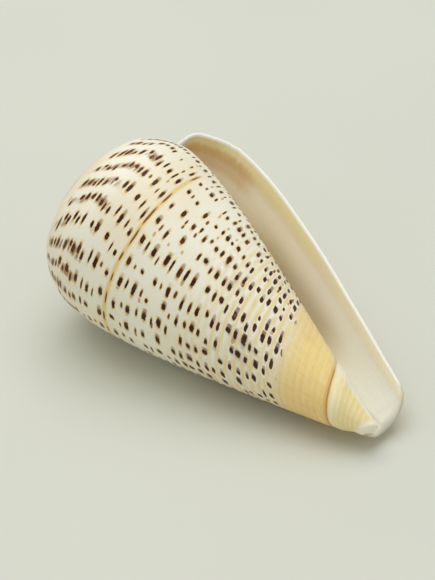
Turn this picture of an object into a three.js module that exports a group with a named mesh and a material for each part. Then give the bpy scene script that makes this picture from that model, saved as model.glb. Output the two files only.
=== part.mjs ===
// A cone shell (a large, low-spired leopard cone) lying on its side with the aperture facing up and away.
// The shell is one piece: a single wall that grew round the shell's axis, so it is one mesh.
//
// Shell frame, before it is laid down: the axis of coiling is Z, the apex is at the origin and the
// anterior tip is at -Z. "Turns" count backwards from the outer lip: 0 is the lip's edge, 1 is one full
// revolution earlier in the shell's growth, and so on up to the apex.
import * as THREE from "three";

// Driving sizes of the shell, in millimetres and degrees
const shellLength = 130; // apex to anterior tip, along the axis
const bodyRadius = 36.2; // axis to the widest line of the body whorl
const tipRadius = 3.3; // the columella's end
const spireHeight = 8.6; // apex to the level of the shoulder
const widestBelowShoulder = 19; // shoulder level to the widest line
const sutureRadius = 0.812; // the line where the next whorl is attached, as a share of bodyRadius
const sutureDrop = 3.3; // how far that line lies below the shoulder level
const shoulderSlope = 35; // how steeply the shoulder falls where the next whorl is attached

// Handles of the profile's three cubic curves
const shoulderHandle = 4.5;
const widestHandle = 4;
const sideHandleTop = 0.268; // these two are shares of the side's height
const sideHandleTip = 0.21;
const tipSlope = 0.36; // radius per length, where the side meets the tip
const rampSag = 0.05; // the hollow of the spire's ramps, as a share of their width

// Growth: the size of the whorl at a number of turns is exp(-(rate * turns + rateChange * turns^2))
const growthRate = 0.1835;
const growthRateChange = 0.012;
const spireTurns = 8; // turns of the spire that are modelled, up to the nucleus
const lipFlare = 14.4; // how far the outer lip stands off the spiral
const lipFlareTurns = 0.255; // the flare starts this many turns behind the lip
const lipFlarePower = 1.85;
const lipRise = 4; // how far the flared lip's shoulder reaches up past the spiral
const lipCornerShare = 0.095; // length of the rounded anterior corner of the lip, as a share of the side
const lipCornerTurns = 0.08; // and its width

// Wall
const wallThickness = 3.2;
const lipThickness = 1.2;
const wallThickensOver = 0.12; // turns from the lip to the full thickness
const mostOfGap = 0.55; // the wall fills at most this share of the space up to the whorl below it
const cavityTurns = 0.95; // how deep the open space behind the aperture reaches

// How the shell lies: it is turned about its own axis, then tilted until the side rests on the surface
const layRoll = 83.38;
const layTilt = 74.55;

// Resolution of the mesh
const stepsPerTurn = 34;
const stepSpread = 0.65; // the steps are wider by this share where the shell rests, so it lies on one flat facet
const stepSpreadTurns = 0.114; // where they are widest
const rampSteps = 3;
const shoulderSteps = 4;
const sideSteps = 12;
const firstFreeRow = rampSteps + 1; // the parietal wall starts one row below the suture

const degrees = Math.PI / 180;
const rowCount = rampSteps + shoulderSteps + sideSteps + 1;
const sutureRow = rampSteps;
const cavitySteps = Math.round(cavityTurns * stepsPerTurn);
const rampColumns = Math.round(spireTurns * stepsPerTurn);

// Turns at a column of the mesh. The spacing repeats each turn, so that a whorl meets the one before it.
const turnsOf = (column) => {
  const share = column / stepsPerTurn;
  const wave = Math.sin(2 * Math.PI * (share - stepSpreadTurns)) + Math.sin(2 * Math.PI * stepSpreadTurns);
  return share + (stepSpread * wave) / (2 * Math.PI);
};

const growth = (turns) => Math.exp(-(growthRate * turns + growthRateChange * turns * turns));

// Points of the profile are (distance from the axis, distance below the apex) at full size
const suturePoint = new THREE.Vector2(sutureRadius * bodyRadius, spireHeight + sutureDrop);
const widestPoint = new THREE.Vector2(bodyRadius, spireHeight + widestBelowShoulder);
const tipPoint = new THREE.Vector2(tipRadius, shellLength);
const shoulderAlong = new THREE.Vector2(Math.cos(shoulderSlope * degrees), Math.sin(shoulderSlope * degrees));
const sideHeight = tipPoint.y - widestPoint.y;

const shoulderCurve = new THREE.CubicBezierCurve(
  suturePoint,
  suturePoint.clone().addScaledVector(shoulderAlong, shoulderHandle),
  new THREE.Vector2(widestPoint.x, widestPoint.y - widestHandle),
  widestPoint,
);
const sideCurve = new THREE.CubicBezierCurve(
  widestPoint,
  new THREE.Vector2(widestPoint.x, widestPoint.y + sideHandleTop * sideHeight),
  new THREE.Vector2(
    tipPoint.x + tipSlope * sideHandleTip * sideHeight,
    tipPoint.y - sideHandleTip * sideHeight,
  ),
  tipPoint,
);

// The ramp of the spire runs from the suture on the whorl before, up over the shoulder's crest
function rampCurve(turns) {
  const start = suturePoint.clone().multiplyScalar(growth(turns + 1) / growth(turns));
  const width = suturePoint.x - start.x;
  return new THREE.CubicBezierCurve(
    start,
    start.clone().add(new THREE.Vector2(0.4 * width, rampSag * width)),
    suturePoint.clone().addScaledVector(shoulderAlong, -Math.min(shoulderHandle, 0.8 * width)),
    suturePoint,
  );
}

// Share of the side that the wall reaches: less than all of it at the lip's rounded anterior corner
function sideReach(turns) {
  const across = 1 - Math.min(Math.max(turns, 0) / lipCornerTurns, 1);
  return 1 - lipCornerShare * (1 - Math.sqrt(1 - across * across));
}

// The outer surface. along is 0 to 1 on the ramp, 1 to 2 on the shoulder and 2 to 3 on the side.
function outerPoint(turns, along) {
  let point;
  let down = 0; // 0 at the widest line and above, 1 at the tip
  if (along < 1) point = rampCurve(turns).getPoint(along);
  else if (along < 2) point = shoulderCurve.getPoint(along - 1);
  else {
    point = sideCurve.getPoint((along - 2) * sideReach(turns));
    down = (point.y - widestPoint.y) / sideHeight;
  }
  const size = growth(turns);
  const flare = Math.max(1 - Math.max(turns, 0) / lipFlareTurns, 0) ** lipFlarePower;
  const flareShare = flare * Math.sin((Math.min(along, 1) * Math.PI) / 2);
  const radius = point.x * size + lipFlare * flareShare;
  const drop = point.y * (size + (1 - size) * down) - lipRise * flareShare * (1 - down);
  const angle = 2 * Math.PI * turns;
  return new THREE.Vector3(radius * Math.cos(angle), radius * Math.sin(angle), -drop);
}

// The wall's inner surface: the outer one moved inwards along its normal
function innerPoint(turns, along) {
  const nudge = 0.01;
  const alongLow = Math.max(along - nudge, 0);
  const alongHigh = Math.min(along + nudge, 3);
  const round = outerPoint(turns + nudge, along).sub(outerPoint(Math.max(turns - nudge, 0), along));
  const downwards = outerPoint(turns, alongHigh).sub(outerPoint(turns, alongLow));
  const inwards = round.cross(downwards).normalize();
  const grown = Math.min(turns / wallThickensOver, 1);
  const full = lipThickness + (wallThickness - lipThickness) * grown * (2 - grown);
  const here = outerPoint(turns, along);
  const below = outerPoint(turns + 1, Math.max(along, 1));
  const gap = Math.hypot(here.x, here.y) - Math.hypot(below.x, below.y);
  const rampGap = along < 1 ? full : gap * mostOfGap;
  return here.addScaledVector(inwards, Math.min(full, rampGap));
}

const alongOfRow = (row) => {
  if (row <= rampSteps) return row / rampSteps;
  if (row <= rampSteps + shoulderSteps) return 1 + (row - rampSteps) / shoulderSteps;
  return 2 + (row - rampSteps - shoulderSteps) / sideSteps;
};

// One closed skin, built as a list of corner points and the faces between them
function shellGeometry() {
  const positions = [];
  const faces = [];
  const seen = new Map();
  const vertex = (name, point) => {
    if (!seen.has(name)) {
      seen.set(name, positions.length / 3);
      positions.push(...point().toArray());
    }
    return seen.get(name);
  };
  const outer = (column, row) =>
    row === 0 ? outer(column + stepsPerTurn, sutureRow) : vertex(`outer ${column} ${row}`, () =>
      outerPoint(turnsOf(column), alongOfRow(row)));
  const inner = (column, row) =>
    row === 0 ? outer(column + stepsPerTurn, firstFreeRow) : vertex(`inner ${column} ${row}`, () =>
      innerPoint(turnsOf(column), alongOfRow(row)));
  const triangle = (a, b, c) => {
    if (a !== b && b !== c && a !== c) faces.push(a, b, c);
  };
  const quad = (a, b, c, d) => {
    triangle(a, b, c);
    triangle(a, c, d);
  };
  const last = rowCount - 1;

  // Outside of the body whorl, then the ramps of the spire
  for (let column = 0; column < rampColumns; column++) {
    const lastHere = column < stepsPerTurn ? last : sutureRow;
    for (let row = 0; row < lastHere; row++) {
      quad(outer(column, row), outer(column, row + 1), outer(column + 1, row + 1), outer(column + 1, row));
    }
  }

  // Parietal wall: the whorl before, seen through the aperture
  for (let column = stepsPerTurn; column < stepsPerTurn + cavitySteps; column++) {
    for (let row = firstFreeRow; row < last; row++) {
      quad(outer(column, row), outer(column, row + 1), outer(column + 1, row + 1), outer(column + 1, row));
    }
  }

  // Inside of the outer wall
  for (let column = 0; column < cavitySteps; column++) {
    for (let row = 0; row < last; row++) {
      quad(inner(column, row), inner(column + 1, row), inner(column + 1, row + 1), inner(column, row + 1));
    }
  }

  // The lip's edge, and the far end of the cavity
  const cavityRow = (row) => Math.max(row, firstFreeRow);
  for (let row = 0; row < last; row++) {
    quad(outer(0, row), inner(0, row), inner(0, row + 1), outer(0, row + 1));
    quad(
      inner(cavitySteps, row),
      outer(stepsPerTurn + cavitySteps, cavityRow(row)),
      outer(stepsPerTurn + cavitySteps, cavityRow(row + 1)),
      inner(cavitySteps, row + 1),
    );
  }

  // Anterior end: the wall's rim round the canal, then the end of the columella
  for (let column = 0; column < cavitySteps; column++) {
    quad(outer(column, last), inner(column, last), inner(column + 1, last), outer(column + 1, last));
  }
  const tipCentre = vertex("tip centre", () => new THREE.Vector3(0, 0, -shellLength + 0.4));
  for (let column = cavitySteps; column < stepsPerTurn + cavitySteps; column++) {
    triangle(outer(column, last), tipCentre, outer(column + 1, last));
  }
  triangle(outer(stepsPerTurn + cavitySteps, last), tipCentre, inner(cavitySteps, last));
  triangle(inner(cavitySteps, last), tipCentre, outer(cavitySteps, last));

  // Nucleus: the smallest whorl is closed by a point at the apex
  const apex = vertex("apex", () => new THREE.Vector3(0, 0, 0));
  for (let column = rampColumns; column < rampColumns + stepsPerTurn; column++) {
    triangle(outer(column, sutureRow), outer(column + 1, sutureRow), apex);
  }
  for (let row = 0; row < sutureRow; row++) {
    triangle(outer(rampColumns, row), outer(rampColumns, row + 1), apex);
  }

  return new THREE.BufferGeometry()
    .setAttribute("position", new THREE.Float32BufferAttribute(positions, 3))
    .setIndex(faces);
}

const shellMaterial = new THREE.MeshStandardMaterial({ color: 0xece3cf, roughness: 0.3, metalness: 0 });

const coneShell = new THREE.Mesh(shellGeometry(), shellMaterial);
coneShell.name = "cone_shell";
coneShell.rotation.z = layRoll * degrees;

// Laid down with the spire towards -X and the tip towards +X
const laid = new THREE.Group();
laid.add(coneShell);
laid.rotation.y = -layTilt * degrees;

const part = new THREE.Group();
part.add(laid);

// The origin is under the middle of the shell, on the surface it rests on
part.updateMatrixWorld(true);
const reach = new THREE.Box3().setFromObject(part, true);
const middle = reach.getCenter(new THREE.Vector3());
laid.position.set(-middle.x, -middle.y, -reach.min.z);

export default part;
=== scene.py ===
import math
from types import SimpleNamespace

import bmesh
import bpy
from mathutils import Matrix, Vector, noise


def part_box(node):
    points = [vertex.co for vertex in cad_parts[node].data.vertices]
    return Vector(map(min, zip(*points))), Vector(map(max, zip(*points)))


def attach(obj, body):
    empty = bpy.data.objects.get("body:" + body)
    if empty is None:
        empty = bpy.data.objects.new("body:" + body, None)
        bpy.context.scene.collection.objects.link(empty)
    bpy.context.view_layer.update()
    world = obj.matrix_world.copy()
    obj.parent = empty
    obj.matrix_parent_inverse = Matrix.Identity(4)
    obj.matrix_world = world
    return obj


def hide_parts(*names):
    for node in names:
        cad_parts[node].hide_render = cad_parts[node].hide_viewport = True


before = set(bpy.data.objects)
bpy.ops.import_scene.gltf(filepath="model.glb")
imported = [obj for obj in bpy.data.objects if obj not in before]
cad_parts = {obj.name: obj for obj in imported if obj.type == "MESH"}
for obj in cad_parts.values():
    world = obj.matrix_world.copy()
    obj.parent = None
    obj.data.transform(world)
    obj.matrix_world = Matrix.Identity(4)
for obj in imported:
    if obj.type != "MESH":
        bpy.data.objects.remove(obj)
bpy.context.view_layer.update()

# The shell's form, in millimetres and degrees. Turns count back from the lip.
# The axis is Z, the apex at the origin and the tip at -Z, until the shell is laid down.
shell = {
    "length": 130, "bodyRadius": 36.2, "tipRadius": 3.3,
    "spireHeight": 8.6, "widestBelowShoulder": 19,
    "sutureRadius": 0.812, "sutureDrop": 3.3, "shoulderSlope": 35,
    "shoulderHandle": 4.5, "widestHandle": 4, "sideHandleTop": 0.268, "sideHandleTip": 0.21, "tipSlope": 0.36,
    "rampSag": 0.05, "growthRate": 0.1835, "growthRateChange": 0.012,
    "lipFlare": 14.4, "lipFlareTurns": 0.255, "lipFlarePower": 1.85, "lipRise": 4,
    "lipCornerShare": 0.085, "lipCornerTurns": 0.08,
    "wall": 3.2, "lipWall": 1.2, "wallThickensOver": 0.12, "mostOfGap": 0.55, "wallThinsFrom": 0.965,
    "layRoll": 83.38, "layTilt": 74.55,
    # the end of the pillar is cut off at a slant
    "tipCut": 2.4, "tipSlant": 0.6, "tipSlantTurns": 0.48,
    "tipCutTurns": 0.14, "tipCutOver": 0.22, "tipCutDown": 0.87,
    # mesh
    "perTurn": 192, "spireTurns": 9.5, "cavityTurns": 0.5, "closeOver": 0.12,
    "rampRows": 8, "shoulderRows": 24, "sideRows": 110, "sideCrowding": 0.45, "rimColumns": 4,
    "mergeWithin": 0.002, "shortestEdge": 0.001,
    "tipRings": [(0.93, -0.4), (0.88, -0.3), (0.8, -0.2), (0.6, -0.12)],  # share of the ring before, lift
    "apexRings": [(0.8, 0.25), (0.45, 0.15)],
    # growth map: the part of it that the rim and the ramp take up
    "rimOnMap": 0.01, "rampOnMap": 0.065,
}

# Spiral lines, on which cords, rows of marks and the groove run. Each has one value of the spiral
# coordinate, which is its share of the way down the side at zeroTurns.
spiral = {
    "zeroTurns": 0.65, "pitch": 0.05, "steeper": 0.37, "easing": 0.8, "easesFrom": 0.66,
    "dashedLine": 0.158, "groove": 0.856, "fold": 0.892,
}

# Low relief on the outside, in millimetres; lipWave is in turns
lowRelief = {
    "starts": 1.05, "startsOver": 0.3, "endsOver": 0.06,
    "groove": 0.22, "grooveWidth": 0.0055, "fold": 0.4, "foldWidth": 0.02,
    "cords": 0.04, "cordStep": 0.0305, "cordsFrom": 0.62, "cordsOver": 0.1, "cordsEnd": 0.86,
    "growthSwell": 0.06, "lipWave": 0.0008, "lipWaveTurns": 0.05,
}

suture = Vector((shell["sutureRadius"] * shell["bodyRadius"], shell["spireHeight"] + shell["sutureDrop"]))
widest = Vector((shell["bodyRadius"], shell["spireHeight"] + shell["widestBelowShoulder"]))
tip = Vector((shell["tipRadius"], shell["length"]))
slope = math.radians(shell["shoulderSlope"])
shoulderAlong = Vector((math.cos(slope), math.sin(slope)))
sideHeight = tip.y - widest.y


def mixed(a, b, share):
    return a + (b - a) * share


def eased(x):
    x = min(max(x, 0), 1)
    return x * x * (3 - 2 * x)


def bell(x, middle, width):
    return math.exp(-(((x - middle) / width) ** 2))


def bezier(a, b, c, d, t):
    s = 1 - t
    return a * s**3 + b * (3 * s * s * t) + c * (3 * s * t * t) + d * t**3


def growth(turns):
    return math.exp(-(shell["growthRate"] * turns + shell["growthRateChange"] * turns * turns))


def rampPoint(turns, t):
    start = suture * (growth(turns + 1) / growth(turns))
    width = suture.x - start.x
    return bezier(
        start,
        start + Vector((0.4 * width, shell["rampSag"] * width)),
        suture - shoulderAlong * min(shell["shoulderHandle"], 0.8 * width),
        suture,
        t,
    )


def sidePoint(t):
    return bezier(
        widest,
        widest + Vector((0, shell["sideHandleTop"] * sideHeight)),
        tip + Vector((shell["tipSlope"], -1)) * shell["sideHandleTip"] * sideHeight,
        tip,
        t,
    )


def profilePoint(turns, along):  # along: 0 to 1 ramp, 1 to 2 shoulder, 2 to 3 side
    if along < 1:
        return rampPoint(turns, along)
    if along < 2:
        return bezier(
            suture,
            suture + shoulderAlong * shell["shoulderHandle"],
            widest - Vector((0, shell["widestHandle"])),
            widest,
            along - 1,
        )
    across = 1 - min(max(turns, 0) / shell["lipCornerTurns"], 1)
    reach = 1 - shell["lipCornerShare"] * (1 - math.sqrt(1 - across * across))
    return sidePoint((along - 2) * reach)


def downOf(point):  # 0 at the widest line and above, 1 at the tip
    return max(point.y - widest.y, 0) / sideHeight


def pitchOf(down, pastEasing):  # how far a spiral line climbs in one turn; also used on shader values
    return down * spiral["steeper"] - pastEasing * spiral["easing"] + spiral["pitch"]


def cutBack(turns):
    slant = 1 + shell["tipSlant"] * math.cos(2 * math.pi * (turns - shell["tipSlantTurns"]))
    return shell["tipCut"] * slant * eased((turns - shell["tipCutTurns"]) / shell["tipCutOver"])


def plainPoint(turns, along):
    point = profilePoint(turns, along)
    down = downOf(point)
    size = growth(turns)
    flare = max(1 - max(turns, 0) / shell["lipFlareTurns"], 0) ** shell["lipFlarePower"]
    flare *= math.sin(min(along, 1) * math.pi / 2)
    radius = point.x * size + shell["lipFlare"] * flare
    drop = point.y * (size + (1 - size) * down) - shell["lipRise"] * flare * (1 - down)
    drop -= cutBack(turns) * eased((down - shell["tipCutDown"]) / (1 - shell["tipCutDown"]))
    angle = 2 * math.pi * turns
    return Vector((radius * math.cos(angle), radius * math.sin(angle), -drop))


def inwards(turns, along):
    nudge = 0.006
    around = plainPoint(turns + nudge, along) - plainPoint(max(turns - nudge, 0), along)
    downwards = plainPoint(turns, min(along + nudge, 3)) - plainPoint(turns, max(along - nudge, 0))
    return around.cross(downwards).normalized()


def lipEdge(turns, along):  # the lip's edge is a little wavy
    reach, starts = lowRelief["lipWaveTurns"], lowRelief["starts"]
    if turns > reach or along <= starts:
        return turns
    chips = max(noise.noise(Vector((along * 34, 4, 0))), 0)
    wave = 0.6 + noise.noise(Vector((along * 7, 0, 3))) + 0.5 * chips
    fade = (1 - turns / reach) ** 2 * eased((along - starts) / lowRelief["startsOver"])
    fade *= eased((2.95 - along) / 0.12)
    return turns + lowRelief["lipWave"] * max(wave, 0) * fade


def relief(turns, along):  # millimetres outwards
    starts = lowRelief["starts"]
    if along <= starts:
        return 0
    down = downOf(profilePoint(turns, along))
    pitch = pitchOf(down, max(down - spiral["easesFrom"], 0))
    line = down + pitch * (turns - spiral["zeroTurns"])
    coarse = noise.noise(Vector((turns * 26, down * 3, 0)))
    fine = noise.noise(Vector((turns * 70, down * 4, 5)))
    high = lowRelief["growthSwell"] * (coarse + 0.5 * fine)
    if line < lowRelief["cordsEnd"]:
        strength = lowRelief["cords"] * eased((line - lowRelief["cordsFrom"]) / lowRelief["cordsOver"])
        high += strength * math.cos(2 * math.pi * line / lowRelief["cordStep"])
    high -= lowRelief["groove"] * bell(line, spiral["groove"], lowRelief["grooveWidth"])
    high += lowRelief["fold"] * bell(line, spiral["fold"], lowRelief["foldWidth"])
    high *= eased((along - starts) / lowRelief["startsOver"])
    return high * eased((3 - along) / lowRelief["endsOver"])


def surfacePoint(turns, along):
    return plainPoint(turns, along) - inwards(turns, along) * relief(turns, along)


# Rows of the mesh down the profile, and its columns round the axis
rimColumns = shell["rimColumns"]
cavityColumns = round(shell["cavityTurns"] * shell["perTurn"])
rampRows = [row / shell["rampRows"] for row in range(shell["rampRows"] + 1)]
wallRows = [1 + row / shell["shoulderRows"] for row in range(shell["shoulderRows"])]
for row in range(shell["sideRows"] + 1):
    share = row / shell["sideRows"]
    wallRows.append(2 + share * (1 + shell["sideCrowding"] * (1 - share)))  # closer together towards the tip
attached = wallRows[rimColumns]  # the wall of a whorl is as thick here, where it meets the whorl before


def shoulderArc(along):  # length from the widest line up, as a share of the side's height, negative
    steps = [profilePoint(1, along + (1.9999 - along) * k / 12) for k in range(13)]
    return -sum((b - a).length for a, b in zip(steps, steps[1:])) / sideHeight


arcOfRow = {along: shoulderArc(along) for along in wallRows if along < 2}
seam = arcOfRow[wallRows[0]]  # where a ramp meets the shoulder, on the growth map


def wallThickness(turns, along):
    grown = min(turns / shell["wallThickensOver"], 1)
    full = mixed(shell["lipWall"], shell["wall"], grown * (2 - grown))
    level = max(along, 1)
    here, below = plainPoint(turns, level), plainPoint(turns + 1, level)
    gap = math.hypot(here.x, here.y) - math.hypot(below.x, below.y)
    thins = shell["wallThinsFrom"]
    end = min(max((along - 2 - thins) / (1 - thins), 0), 1)  # down to nothing at the tip's margin
    return min(full, gap * shell["mostOfGap"]) * math.sqrt(1 - end * end)


def innerPoint(turns, along):
    opposite = surfacePoint(turns + 1, max(along, attached))
    inner = surfacePoint(turns, along) + inwards(turns, along) * wallThickness(turns, along)
    if along < 1:
        inner = mixed(opposite, inner, eased(along / 0.7))
    closing = eased((turns - shell["cavityTurns"] + shell["closeOver"]) / shell["closeOver"])
    return mixed(inner, opposite, closing)


def rimPoint(step, along):  # step 0 is the outer edge of the lip, rimColumns the inner one
    edge = lipEdge(0, along)
    outer, inner = surfacePoint(edge, along), innerPoint(edge, along)
    turn = math.pi * step / rimColumns
    across = (1 - math.cos(turn)) / 2
    forwards = (plainPoint(edge, along) - plainPoint(edge + 0.004, along)).normalized()
    point = mixed(outer, inner, across) + forwards * (math.sin(turn) * (outer - inner).length / 2)
    if along < 1:
        start = surfacePoint(1, wallRows[step])
        if along == 0:
            return start
        foot = mixed(surfacePoint(0, 0), innerPoint(0, 0), across)
        point += (start - foot) * (1 - along) ** 2
    return point


# What a column belongs to, its turns or its step of the rim, and its u on the growth map
def placeColumn(column):
    rim = shell["rimOnMap"]
    if column < cavityColumns:
        turns = (cavityColumns - column) / shell["perTurn"]
        return "inner", turns, -rim - turns
    if column <= cavityColumns + rimColumns:
        step = cavityColumns + rimColumns - column
        return "rim", step, -rim * step / rimColumns
    turns = (column - cavityColumns - rimColumns) / shell["perTurn"]
    return "outer", turns, turns


def sheetPoint(kind, where, along):
    if kind == "outer":
        return surfacePoint(lipEdge(where, along), along)
    if kind == "rim":
        return rimPoint(where, along)
    if along == 0:
        return surfacePoint(where + 1, attached)
    return innerPoint(lipEdge(where, along), along)


def mapHeight(kind, where, along):  # v on the growth map
    if along < 1:
        return seam - shell["rampOnMap"] * (1 - along)
    if along < 2:
        return arcOfRow[along]
    return downOf(profilePoint(where if kind == "outer" else 0.1, along))


def addSheet(bm, rows, columns):
    growthMap = bm.loops.layers.uv["growth"]
    girth = bm.verts.layers.float["girth"]
    made = bmesh.ops.create_grid(
        bm, x_segments=columns, y_segments=len(rows) - 1, size=1, matrix=Matrix(), calc_uvs=True
    )["verts"]
    maps = {}
    for vert in made:
        column = round((vert.co.x + 1) / 2 * columns)
        along = rows[round((vert.co.y + 1) / 2 * (len(rows) - 1))]
        kind, where, u = placeColumn(column)
        vert.co = sheetPoint(kind, where, along)
        vert[girth] = math.hypot(vert.co.x, vert.co.y)
        maps[vert] = (u, mapHeight(kind, where, along))
    for face in {face for vert in made for face in vert.link_faces}:
        for loop in face.loops:
            loop[growthMap].uv = maps[loop.vert]
    return made, maps


def fillRound(bm, edges, rings, v):
    growthMap = bm.loops.layers.uv["growth"]
    added = []
    for share, lift in rings:
        made = bmesh.ops.extrude_edge_only(bm, edges=edges)["geom"]
        ring = [item for item in made if isinstance(item, bmesh.types.BMVert)]
        ring.sort(key=lambda vert: vert.co[:])  # so that each run adds them up in the same order
        inRing = set(ring)
        added += [item for item in made if isinstance(item, bmesh.types.BMFace)]
        madeEdges = [item for item in made if isinstance(item, bmesh.types.BMEdge)]
        edges = [edge for edge in madeEdges if inRing.issuperset(edge.verts)]
        centre = sum((vert.co for vert in ring), Vector()) / len(ring)
        bmesh.ops.scale(bm, vec=(share, share, share), space=Matrix.Translation(-centre), verts=ring)
        bmesh.ops.translate(bm, vec=(0, 0, lift), verts=ring)
    added += bmesh.ops.edgeloop_fill(bm, edges=edges)["faces"]
    for loop in [loop for face in added for loop in face.loops]:
        loop[growthMap].uv = (0.9, v)


def closeEnds(bm):
    openEdges = [edge for edge in bm.edges if edge.is_boundary]
    middle = -shell["length"] / 2
    tipEdges = [edge for edge in openEdges if edge.verts[0].co.z < middle]
    apexEdges = [edge for edge in openEdges if edge.verts[0].co.z > middle]
    print("open edges", len(openEdges), "tip", len(tipEdges), "apex", len(apexEdges))
    fillRound(bm, tipEdges, shell["tipRings"], 1.0)
    fillRound(bm, apexEdges, shell["apexRings"], -0.2)
    bmesh.ops.triangulate(bm, faces=[face for face in bm.faces if len(face.verts) > 4])


def layDown(bm):  # turned and tilted as it rests, in metres, in the place of the CAD node
    roll = Matrix.Rotation(math.radians(shell["layRoll"]), 4, "Z")
    tilt = Matrix.Rotation(math.radians(-shell["layTilt"]), 4, "Y")
    bmesh.ops.transform(bm, matrix=Matrix.Scale(0.001, 4) @ tilt @ roll, verts=bm.verts)
    low = Vector([min(vert.co[axis] for vert in bm.verts) for axis in range(3)])
    high = Vector([max(vert.co[axis] for vert in bm.verts) for axis in range(3)])
    cadLow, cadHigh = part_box("cone_shell")
    shift = (Vector(cadLow) + Vector(cadHigh) - low - high) / 2
    shift.z = cadLow[2] - low.z
    bmesh.ops.translate(bm, vec=shift, verts=bm.verts)


def makeShell():
    bm = bmesh.new()
    bm.loops.layers.uv.new("growth")
    bm.verts.layers.float.new("girth")
    wallColumns = 2 * cavityColumns + rimColumns + shell["perTurn"]
    spireColumns = cavityColumns + rimColumns + round(shell["spireTurns"] * shell["perTurn"])
    made, maps = addSheet(bm, wallRows, wallColumns)
    hidden = [vert for vert in made if maps[vert][0] > 1.0001 and maps[vert][1] < arcOfRow[attached] - 1e-6]
    bmesh.ops.delete(bm, geom=hidden, context="VERTS")  # inside the wall, where the next whorl is attached
    addSheet(bm, rampRows, spireColumns)
    bmesh.ops.remove_doubles(bm, verts=bm.verts, dist=shell["mergeWithin"])
    bmesh.ops.dissolve_degenerate(bm, edges=bm.edges, dist=shell["shortestEdge"])
    bmesh.ops.recalc_face_normals(bm, faces=bm.faces)
    if bm.calc_volume(signed=True) < 0:
        bmesh.ops.reverse_faces(bm, faces=bm.faces)
    closeEnds(bm)
    bmesh.ops.recalc_face_normals(bm, faces=bm.faces)
    for face in bm.faces:
        face.smooth = True
    layDown(bm)
    mesh = bpy.data.meshes.new("shellWall")
    bm.to_mesh(mesh)
    loose = sum(not edge.is_manifold for edge in bm.edges)
    bm.free()
    mesh.validate()
    print("shell", len(mesh.polygons), "faces,", loose, "edges that aren't closed")
    piece = bpy.data.objects.new("shellWall", mesh)
    bpy.context.collection.objects.link(piece)
    return piece


# Shader values that take part in plain sums: each method adds the node that it names
class Signal:
    def __init__(self, socket):
        self.socket = socket

    def calc(self, operation, *others):
        return addSignal(
            self.socket.id_data, "ShaderNodeMath", dict(enumerate((self, *others))), operation=operation
        )

    def __add__(self, other):
        return self.calc("ADD", other)

    def __sub__(self, other):
        return self.calc("SUBTRACT", other)

    def __rsub__(self, other):
        return self.calc("MULTIPLY_ADD", -1.0, other)

    def __mul__(self, other):
        return self.calc("MULTIPLY", other)

    def __truediv__(self, other):
        return self.calc("DIVIDE", other)

    def __pow__(self, other):
        return self.calc("POWER", other)

    def __abs__(self):
        return self.calc("ABSOLUTE")

    def rounded(self):
        return self.calc("ROUND")

    def atLeast(self, other):
        return self.calc("MAXIMUM", other)

    def atMost(self, other):
        return self.calc("MINIMUM", other)

    def above(self, other):  # 1 where it is, otherwise 0
        return self.calc("GREATER_THAN", other)

    def wave(self, crest, length):  # a cosine that is 1 at the crest
        return ((self - crest) * (2 * math.pi / length)).calc("COSINE")

    def soft(self, start, end, first=0.0, last=1.0):  # a smooth step from first to last
        values = {"Value": self, "From Min": start, "From Max": end, "To Min": first, "To Max": last}
        return addSignal(
            self.socket.id_data, "ShaderNodeMapRange", values, "Result", interpolation_type="SMOOTHSTEP"
        )

    def near(self, middle, half, edge):  # 1 within half of the middle, falling to 0 over the edge
        return abs(self - middle).soft(half, half + edge, 1.0, 0.0)

    def mix(self, first, second):  # a colour: the first where this is 0, the second where it is 1
        values = {0: self, 6: first, 7: second}
        return addSignal(
            self.socket.id_data, "ShaderNodeMix", values, 2, data_type="RGBA", clamp_factor=True
        )


def addNode(tree, kind, values=None, **settings):
    made = tree.nodes.new(kind)
    for name, value in settings.items():
        setattr(made, name, value)
    for name, value in (values or {}).items():
        if isinstance(value, Signal):
            tree.links.new(value.socket, made.inputs[name])
        else:
            made.inputs[name].default_value = value
    return made


def addSignal(tree, kind, values=None, output=0, **settings):
    return Signal(addNode(tree, kind, values, **settings).outputs[output])


def pair(x, y):
    return addSignal(x.socket.id_data, "ShaderNodeCombineXYZ", {0: x, 1: y})


def grain(place, scale, detail):
    values = {"Vector": place, "Scale": scale, "Detail": detail}
    return addSignal(place.socket.id_data, "ShaderNodeTexNoise", values, "Fac")


def colour(red, green, blue):  # as seen on screen, 0 to 255
    linear = [((c / 255 + 0.055) / 1.055) ** 2.4 if c > 10 else c / 255 / 12.92 for c in (red, green, blue)]
    return (*linear, 1)


# Rows of marks: one in each cell, wandering a little, some of them missing, soft on the side that grew first
rowsOfMarks = {
    "inputs": {
        "column": 0, "row": 0, "columnWidth": 6, "rowHeight": 5, "halfLength": 1.3, "halfHeight": 0.7,
        "wander": 0.2, "missing": 0.12, "seed": 0, "ragged": 0, "haze": 1.15,
    },
    "outputs": ["core", "edge", "halo", "smear", "eye", "chance"],
    "roundness": 2.6,  # 2 would be an ellipse
    "lean": 0.25,  # marks lean a little with the growth lines
    "eyes": 0.04,  # share of the marks with a pale middle
}


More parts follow.
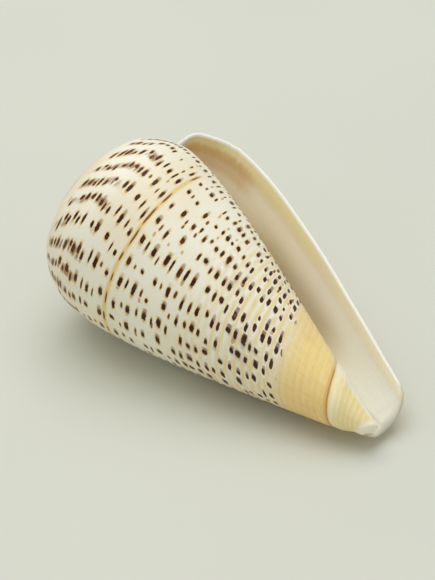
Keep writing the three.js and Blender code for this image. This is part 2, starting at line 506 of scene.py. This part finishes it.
def rowsOfMarksGroup():
    group = bpy.data.node_groups.new("spotRows", "ShaderNodeTree")
    for label, value in rowsOfMarks["inputs"].items():
        group.interface.new_socket(label, in_out="INPUT", socket_type="NodeSocketFloat").default_value = value
    for label in rowsOfMarks["outputs"]:
        group.interface.new_socket(label, in_out="OUTPUT", socket_type="NodeSocketFloat")
    entry = group.nodes.new("NodeGroupInput").outputs
    given = SimpleNamespace(**{label: Signal(entry[label]) for label in rowsOfMarks["inputs"]})

    column, row = given.column.rounded(), given.row.rounded()
    cell = addSignal(group, "ShaderNodeCombineXYZ", {0: column, 1: row, 2: given.seed})
    dice = addNode(group, "ShaderNodeTexWhiteNoise", {"Vector": cell}, noise_dimensions="3D").outputs
    throws = addNode(group, "ShaderNodeSeparateColor", {0: Signal(dice["Color"])}).outputs
    first, second, third = [Signal(throw) for throw in throws]
    there = Signal(dice["Value"]).above(given.missing)

    shiftX = (first - 0.5) * given.wander
    shiftY = (second - 0.5) * given.wander * 0.35
    x = (given.column - column - shiftX) * given.columnWidth
    y = (given.row - row - shiftY) * given.rowHeight
    halfX = given.halfLength * (third * 0.75 + 0.6)
    halfY = given.halfHeight * (first * 0.5 + 0.72)
    lean = y * rowsOfMarks["lean"] + x
    roundness = rowsOfMarks["roundness"]
    powerX = (abs(lean) / halfX) ** roundness
    powerY = (abs(y) / halfY) ** roundness
    edge = (powerX + powerY) ** (1 / roundness) + given.ragged
    longer = (powerX * 0.5 + powerY * 0.95) ** (1 / roundness) + given.ragged  # the coloured rim is longer

    older = (lean / halfX).soft(0.1, 1.0)
    fromEdge = older * (second * -0.45) + 0.88
    toEdge = older * 0.3 + 1.1
    behind = lean - halfX * 1.15
    smearX = (abs(behind) / (halfX * given.haze)) ** 2
    smearY = (abs(y) / (halfY * 1.1)) ** 2
    smear = (smearX + smearY).soft(0.1, 1.5, 1.0, 0.0)
    eye = edge.soft(0.1, 0.55, 1.0, 0.0) * second.above(1 - rowsOfMarks["eyes"])
    addNode(group, "NodeGroupOutput", {
        "core": there * edge.soft(fromEdge, toEdge, 1.0, 0.0),
        "edge": there * longer.soft(0.92, 1.2, 1.0, 0.0),
        "halo": there * longer.soft(1.0, 1.9, 1.0, 0.0),
        "smear": there * smear * second.soft(0.15, 0.8),
        "eye": there * eye,
        "chance": third,
    })
    return group


pattern = {
    "columnsPerTurn": 24.5,  # marks stand in lines down the shell
    "shoulderLean": -9.0,  # columns that the lines lean back by over the shoulder, in each side's height
    "firstRow": 0.0886, "rowStep": 0.0492, "rowHeight": 5.04,  # on the spiral coordinate, and in millimetres
    "crowding": -5.5,  # rows close up over the shoulder
    "marksEnd": 0.692, "bandStep": 0.0246, "bandCrest": 0.0763,
    "baseStarts": 0.675, "baseCordStep": 0.0215, "baseCordCrest": 0.742, "foldCordStep": 0.019,
    "lineFades": (0.80, 0.84),  # turns where the dashed line ends
    # the outside
    "ground": colour(249, 244, 227), "groundWarm": colour(244, 232, 206), "white": colour(251, 249, 240),
    "peach": colour(234, 213, 176), "paleYellow": colour(236, 217, 162), "bandYellow": colour(241, 213, 146),
    "yellow": colour(236, 208, 132),
    # the marks
    "chocolate": colour(58, 26, 13), "chocolateSoft": colour(98, 56, 28), "plum": colour(70, 46, 32),
    "rust": colour(140, 86, 30), "amber": colour(206, 154, 68), "mauve": colour(150, 112, 88),
    "blueGrey": colour(120, 110, 116),
    # the base
    "baseYellow": colour(251, 227, 157), "baseOrange": colour(247, 213, 144),
    "baseLine": colour(246, 236, 196), "baseSkin": colour(238, 226, 192),
    "groove": colour(184, 128, 66), "rim": colour(247, 242, 224),
    "foldYellow": colour(246, 224, 162), "foldPale": colour(249, 242, 212),
    # inside the aperture
    # the deeper inside colour is partly the shell's own and partly painted shade of the recess
    "inside": colour(247, 233, 206), "insideDeepAndShaded": colour(216, 202, 164),
    # the first colour on the next line is painted shadow, for the darker patch deep in the aperture
    "insidePaintedShadow": colour(164, 140, 100), "insidePale": colour(228, 224, 207),
    "lipYellow": colour(251, 237, 178), "stain": colour(210, 164, 96),
}


def paint(under, name, share):
    return share.mix(under, pattern[name])


def shellCoordinates(tree):
    at = SimpleNamespace()
    growthMap = addSignal(tree, "ShaderNodeUVMap", uv_map="growth")
    split = addNode(tree, "ShaderNodeSeparateXYZ", {0: growthMap}).outputs
    at.turns, at.down = Signal(split[0]), Signal(split[1])
    at.place = addSignal(tree, "ShaderNodeTexCoord", output="Object")
    at.wander = grain(at.place, 90, 2) - 0.5
    at.broad = grain(at.place, 38, 1) - 0.5
    at.cloud = grain(at.place, 32, 3)
    # Spiral coordinate: rows of marks, cords and bands run at a constant value
    below = at.down.atLeast(0.0)
    pitch = pitchOf(below, (below - spiral["easesFrom"]).atLeast(0.0))
    at.trueLine = at.down + pitch * (at.turns - spiral["zeroTurns"])
    at.line = at.wander * 0.008 + at.trueLine
    at.patchy = grain(pair(at.turns * 22.0, at.line * 60.0), 1.0, 3)
    # Axial coordinate: lines of marks, leaning back over the shoulder
    lean = (at.down + 0.03).atMost(0.0) * pattern["shoulderLean"]
    at.axial = at.turns * pattern["columnsPerTurn"] + lean + at.wander * 0.35 + at.broad * 1.1
    # Zones
    at.onShoulder = at.line.soft(0.02, 0.06, 1.0, 0.0)
    at.lower = at.line.soft(0.4, 0.6)  # the marks are less even here, with more haze
    at.lineThere = at.turns.soft(*pattern["lineFades"], 1.0, 0.0)
    at.offLine = 1.0 - at.line.near(spiral["dashedLine"], 0.008, 0.004) * at.lineThere
    lowest = at.wander * 0.12 + at.line  # the rows end unevenly
    rowsEnd = lowest.soft(pattern["marksEnd"], pattern["marksEnd"] + 0.01, 1.0, 0.0)
    at.inMarks = at.down.soft(-0.135, -0.115) * rowsEnd * at.turns.soft(1.05, 1.1, 1.0, 0.0)
    return at


def addMarks(tree, at):
    group = rowsOfMarksGroup()
    girth = addSignal(tree, "ShaderNodeAttribute", output="Fac", attribute_name="girth")
    ragged = (grain(at.place, 1100, 3) - 0.5) * 0.9
    shared = {
        "column": at.axial, "columnWidth": girth * (2 * math.pi / pattern["columnsPerTurn"]),
        "rowHeight": at.onShoulder * -1.0 + pattern["rowHeight"], "ragged": ragged,
    }

    def rows(**values):
        used = addNode(tree, "ShaderNodeGroup", {**shared, **values}, node_tree=group)
        return SimpleNamespace(**{socket.name: Signal(socket) for socket in used.outputs})

    crowd = (0.045 - at.line).atLeast(0.0)
    row = (at.line - pattern["firstRow"]) / pattern["rowStep"] + crowd * pattern["crowding"]
    newer = at.turns.soft(0.76, 0.62) * at.line.soft(0.55, 0.35)  # longer marks on the newer part
    older = at.turns.soft(0.8, 0.92)
    long = newer * 0.2 + at.line.soft(0.2, 0.12) * 0.12 + older * 0.16
    at.grown = at.line.soft(0.3, 0.42).atLeast(at.onShoulder)  # the dashes are larger here
    marks = SimpleNamespace()
    marks.big = rows(
        row=row, halfLength=long + 1.04, halfHeight=at.lower * 0.04 + older * 0.06 + 0.64,
        haze=at.lower * 0.45 + 1.15, wander=at.lower * 0.2 + 0.34, missing=at.lower * 0.07 + 0.07, seed=3.0,
    )
    marks.small = rows(
        row=row + 0.5, halfLength=long + 0.94, halfHeight=at.grown * 0.18 + 0.34,
        wander=at.lower * 0.2 + 0.38, missing=at.lower * 0.14 + 0.12, seed=8.0,
    )
    marks.specks = rows(  # small ones between the lines of marks
        column=at.axial + 0.5, row=row + 0.5, halfLength=0.7, halfHeight=0.36,
        wander=0.6, missing=1.0 - at.turns.soft(0.6, 0.8, 0.14, 0.6), seed=21.0,
    )
    marks.strokes = rows(  # the dashes of the line below the widest part
        row=(at.line - spiral["dashedLine"]) / 0.2, rowHeight=20.5, halfLength=2.3, halfHeight=0.33,
        wander=0.06, missing=0.06, seed=11.0, ragged=ragged * 0.5,
    )
    return marks


# Cream with warmer clouds, yellow bands between the rows lower down, and the dashed line's band
def groundColour(at):
    base = at.cloud.soft(0.42, 0.72).mix(pattern["ground"], pattern["groundWarm"])
    base = paint(base, "peach", at.down.soft(-0.11, -0.15) * at.cloud.soft(0.3, 0.6) * 0.5)
    between = at.line.wave(pattern["bandCrest"], pattern["bandStep"])
    bands = between.soft(-0.5, 0.9) * at.line.soft(0.3, 0.6) * at.patchy.soft(0.36, 0.6, 0.1, 1.0)
    base = paint(base, "paleYellow", at.lower * 0.4)
    base = paint(base, "bandYellow", bands * 0.85)
    whiteZone = at.line.soft(0.34, 0.5) * at.line.soft(0.7, 0.64)
    base = paint(base, "white", whiteZone * between.soft(-0.3, -1.0) * at.patchy.soft(0.66, 0.4) * 0.8)
    return paint(base, "yellow", at.line.near(spiral["dashedLine"], 0.002, 0.0105) * at.lineThere * 0.9)


def paintHaze(base, at, marks):  # what lies round and behind the marks, and the flames of the shoulder
    around = (marks.small.halo * at.offLine).atLeast(marks.big.halo) * at.inMarks
    base = paint(base, "paleYellow", around * at.lower.soft(0.0, 0.6, 0.6, 0.0))
    base = paint(base, "white", around * at.lower * 0.9)
    streaky = grain(pair(at.turns * 16.0, at.down * 120.0), 1.0, 2)
    nearLine = abs(at.axial - at.axial.rounded())
    at.flamed = (at.broad + at.wander).soft(-0.12, 0.04)  # brown flames over parts of the shoulder
    flame = nearLine.soft(0.08, 0.3, 1.0, 0.0) * at.onShoulder * at.inMarks
    flame = flame * streaky.soft(0.36, 0.6) * at.flamed
    base = paint(base, "mauve", flame * 0.9)
    hazy = around * grain(at.place, 75, 2).soft(0.54, 0.66) * at.line.soft(0.1, 0.3)
    base = paint(base, "blueGrey", hazy * 0.5)
    base = paint(base, "blueGrey", marks.big.smear * at.inMarks * at.lower.soft(0.0, 1.0, 0.6, 0.9))
    return paint(base, "blueGrey", marks.small.smear * at.inMarks * at.lower * 0.7)


def paintMarks(base, at, marks):
    big, small, specks, strokes = marks.big, marks.small, marks.specks, marks.strokes
    speck = at.inMarks * at.line.soft(0.08, 0.12) * at.offLine
    base = paint(base, "amber", specks.edge * speck * 0.75)
    base = paint(base, "rust", specks.core * speck * specks.chance.soft(0.4, 0.6))
    base = paint(base, "amber", small.edge * at.inMarks * at.offLine * at.lower.soft(0.0, 1.0, 0.85, 0.65))
    base = paint(base, "amber", big.edge * at.inMarks * at.lower.soft(0.0, 1.0, 0.8, 0.5))
    brown = grain(at.place, 450, 2).soft(0.45, 0.75).mix(pattern["chocolate"], pattern["chocolateSoft"])
    brown = paint(brown, "plum", at.lower * 0.6)
    brown = paint(brown, "chocolateSoft", at.onShoulder * at.flamed * 0.7)
    dash = small.chance.soft(0.1, 0.7).mix(pattern["rust"], brown)
    dash = at.grown.mix(dash, brown)
    base = (small.core * at.inMarks * at.offLine).mix(base, dash)
    base = (big.core * at.inMarks).mix(base, brown)
    base = paint(base, "mauve", big.eye * at.inMarks * 0.8)
    onLine = at.line.near(spiral["dashedLine"], 0.02, 0.005) * at.lineThere
    base = paint(base, "amber", strokes.edge * onLine * 0.7)
    return paint(base, "rust", strokes.core * onLine)


def paintBase(base, at, marks):  # yellow, with faint pale cords, the groove and the fold beside it
    lowLine = at.broad * 0.05 + at.patchy * 0.1 + (at.line - 0.05)
    atBase = lowLine.soft(pattern["baseStarts"], pattern["baseStarts"] + 0.035)
    yellow = at.cloud.soft(0.35, 0.65).mix(pattern["baseYellow"], pattern["baseOrange"])
    yellow = paint(yellow, "baseSkin", lowLine.soft(0.76, 0.69) * 0.5)
    cords = at.trueLine.wave(pattern["baseCordCrest"], pattern["baseCordStep"])
    at.cordsAtBase = cords.soft(0.5, 1.0) * atBase
    yellow = paint(yellow, "baseLine", cords.soft(0.6, 1.0) * at.patchy.soft(0.35, 0.7, 0.0, 0.5))
    yellow = paint(yellow, "groove", cords.soft(-0.7, -1.0) * at.patchy.soft(0.6, 0.4) * 0.16)
    across = grain(pair(at.turns * 90.0, at.down * 9.0), 1.0, 3)
    yellow = paint(yellow, "groove", across.soft(0.5, 0.72) * 0.13)
    foldCords = (at.wander * 0.012 + at.trueLine).wave(0.0, pattern["foldCordStep"])
    foldShare = foldCords.soft(0.1, 1.0) * at.patchy.soft(0.3, 0.65, 0.1, 0.75)
    foldShare = foldShare + at.trueLine.soft(0.9, 0.865, 0.0, 0.5)
    fold = foldShare.mix(pattern["foldYellow"], pattern["foldPale"])
    yellow = at.trueLine.soft(spiral["groove"] + 0.001, spiral["groove"] + 0.01).mix(yellow, fold)
    yellow = paint(yellow, "amber", at.trueLine.near(spiral["groove"] - 0.005, 0.001, 0.009) * 0.45)
    yellow = paint(yellow, "groove", at.trueLine.near(spiral["groove"], 0.0008, 0.003) * 0.8)
    margin = at.turns.soft(0.79, 0.83) * at.trueLine.soft(0.82, 0.9)
    yellow = paint(yellow, "rim", margin * 0.85)
    yellow = paint(yellow, "rim", at.down.soft(0.985, 0.998))
    marked = marks.big.core.atLeast(marks.small.core) * at.inMarks
    besideMarks = marked * -0.9 + 1.0  # the last marks stay dark where the yellow begins
    return (atBase * besideMarks).mix(base, yellow)


def paintSpire(base, at):  # brown flames on the ramps, from the seam outwards, fading towards the apex
    rampShare = (seam - at.down) / shell["rampOnMap"]
    fan = grain(pair(rampShare * 0.9 + at.turns * 13.0, rampShare * 0.8), 1.0, 3)
    flamed = rampShare.soft(0.1, 0.25) * at.turns.soft(8.0, 4.0, 0.15, 1.0)
    base = paint(base, "amber", fan.soft(0.47, 0.56) * flamed * 0.7)
    base = paint(base, "chocolateSoft", fan.soft(0.54, 0.585) * flamed)
    return paint(base, "groove", rampShare.soft(0.9, 1.0) * 0.55)


def apertureColour(at):  # turns are negative here: the further in, the lower
    # darker deeper into the aperture: partly the shell's own darker inside, partly painted shade of the
    # recess
    inside = at.turns.soft(-0.032, -0.075).mix(pattern["inside"], pattern["insideDeepAndShaded"])
    inside = paint(inside, "insidePale", at.down.soft(0.3, 0.85))
    # painted shadow: a darker patch part way down, deep in the aperture, where the body whorl shades the
    # inside of the lip
    shade = at.turns.soft(-0.035, -0.08) * at.down.near(0.45, 0.14, 0.2)
    inside = paint(inside, "insidePaintedShadow", shade * 0.6)
    teeth = grain(pair(at.turns * 40.0, at.down * 60.0), 1.0, 3)
    inward = (teeth - 0.5) * 0.008 + at.turns
    patches = grain(at.place, 60, 2).soft(0.25, 0.6, 0.35, 1.0)
    stain = inward.near(-0.0245, 0.0015, 0.0075) * at.down.soft(0.0, 0.15, 0.6, 0.15) * patches
    inside = paint(inside, "lipYellow", inward.soft(-0.030, -0.022) * at.down.soft(0.3, 0.65, 0.85, 0.3))
    inside = paint(inside, "stain", stain)
    inside = paint(inside, "stain", inward.near(-0.034, 0.004, 0.012) * at.down.soft(0.14, 0.04) * 0.55)
    corner = at.down.soft(-0.04, -0.1) * at.turns.soft(-0.06, -0.01)
    inside = paint(inside, "stain", corner * 0.35)
    inside = paint(inside, "white", at.turns.soft(-0.0125, -0.0105))
    chips = grain(at.place, 1100, 1).soft(0.7, 0.73) * at.turns.near(-0.0012, 0.002, 0.0015)
    return paint(inside, "rust", chips * 0.8)


def shellMaterial():
    material = bpy.data.materials.new("shellPorcelain")
    material.use_nodes = True
    tree = material.node_tree
    tree.nodes.clear()
    at = shellCoordinates(tree)
    marks = addMarks(tree, at)
    base = groundColour(at)
    base = paintHaze(base, at, marks)
    base = paintMarks(base, at, marks)
    base = paintBase(base, at, marks)
    base = paintSpire(base, at)
    outside = at.turns.above(-0.0005)
    base = outside.mix(apertureColour(at), base)

    growthLines = grain(pair(at.turns * 60.0, at.down * 1.5), 6, 3)
    height = growthLines * 0.6 + grain(at.place, 260, 2) * 0.4 + at.cordsAtBase * 0.5
    bump = addSignal(tree, "ShaderNodeBump", {"Strength": 0.22, "Distance": 0.0004, "Height": height})
    skin = addSignal(tree, "ShaderNodeBsdfPrincipled", {
        "Base Color": base, "Roughness": grain(at.place, 150, 2) * 0.16 + 0.24, "Normal": bump,
        "Specular IOR Level": 0.18, "IOR": 1.5,
    })
    addNode(tree, "ShaderNodeOutputMaterial", {"Surface": skin})
    return material


room = {
    "floorSize": 6.0, "floorDark": colour(215, 216, 206), "floorLight": colour(218, 219, 209),
    "aim": (-0.00666, -0.00444, 0.025), "distance": 0.6, "azimuth": -46.94, "elevation": 37.39, "lens": 115.8,
    "lights": [  # name, place, size, power
        ("skylight", (-0.28, 0.1, 1.6), 1.6, 16.4),
        ("frontFill", (0.9, -0.9, 1.1), 1.2, 0.5),
    ],
    "airColour": (0.98, 1.0, 0.93, 1), "airStrength": 0.52,
}


def floorMaterial():
    material = bpy.data.materials.new("paleFloor")
    material.use_nodes = True
    tree = material.node_tree
    paper = tree.nodes["Principled BSDF"].inputs
    place = addSignal(tree, "ShaderNodeTexCoord", output="Object")
    shade = grain(place, 6, 2).soft(0.3, 0.7).mix(room["floorDark"], room["floorLight"])
    tree.links.new(shade.socket, paper["Base Color"])
    paper["Roughness"].default_value = 0.85
    paper["Specular IOR Level"].default_value = 0.2
    return material


def addFloor():
    bpy.ops.mesh.primitive_plane_add(size=room["floorSize"])
    floor = bpy.context.object
    floor.name = "floor"
    floor.data.materials.append(floorMaterial())


def addLights(aim):
    for name, spot, size, power in room["lights"]:
        lamp = bpy.data.lights.new(name, "AREA")
        lamp.energy = power
        lamp.size = size
        holder = bpy.data.objects.new(name, lamp)
        holder.location = spot
        holder.rotation_euler = (aim - Vector(spot)).to_track_quat("-Z", "Y").to_euler()
        bpy.context.collection.objects.link(holder)
    world = bpy.data.worlds.new("air")
    world.use_nodes = True
    air = world.node_tree.nodes["Background"].inputs
    air["Color"].default_value = room["airColour"]
    air["Strength"].default_value = room["airStrength"]
    bpy.context.scene.world = world


def addCamera(aim):
    azimuth, elevation = math.radians(room["azimuth"]), math.radians(room["elevation"])
    level = math.cos(elevation)
    back = Vector((level * math.cos(azimuth), level * math.sin(azimuth), math.sin(elevation)))
    lens = bpy.data.cameras.new("camera")
    lens.lens = room["lens"]
    camera = bpy.data.objects.new("camera", lens)
    camera.location = aim + back * room["distance"]
    camera.rotation_euler = (-back).to_track_quat("-Z", "Y").to_euler()
    bpy.context.collection.objects.link(camera)
    bpy.context.scene.camera = camera


def makeRoom():
    aim = Vector(room["aim"])
    addFloor()
    addLights(aim)
    addCamera(aim)
    bpy.context.scene.view_settings.view_transform = "Standard"


makeRoom()
print("room ready")
shellPiece = makeShell()
shellPiece.data.materials.append(shellMaterial())
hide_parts("cone_shell")
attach(shellPiece, "root")
print("shell ready")
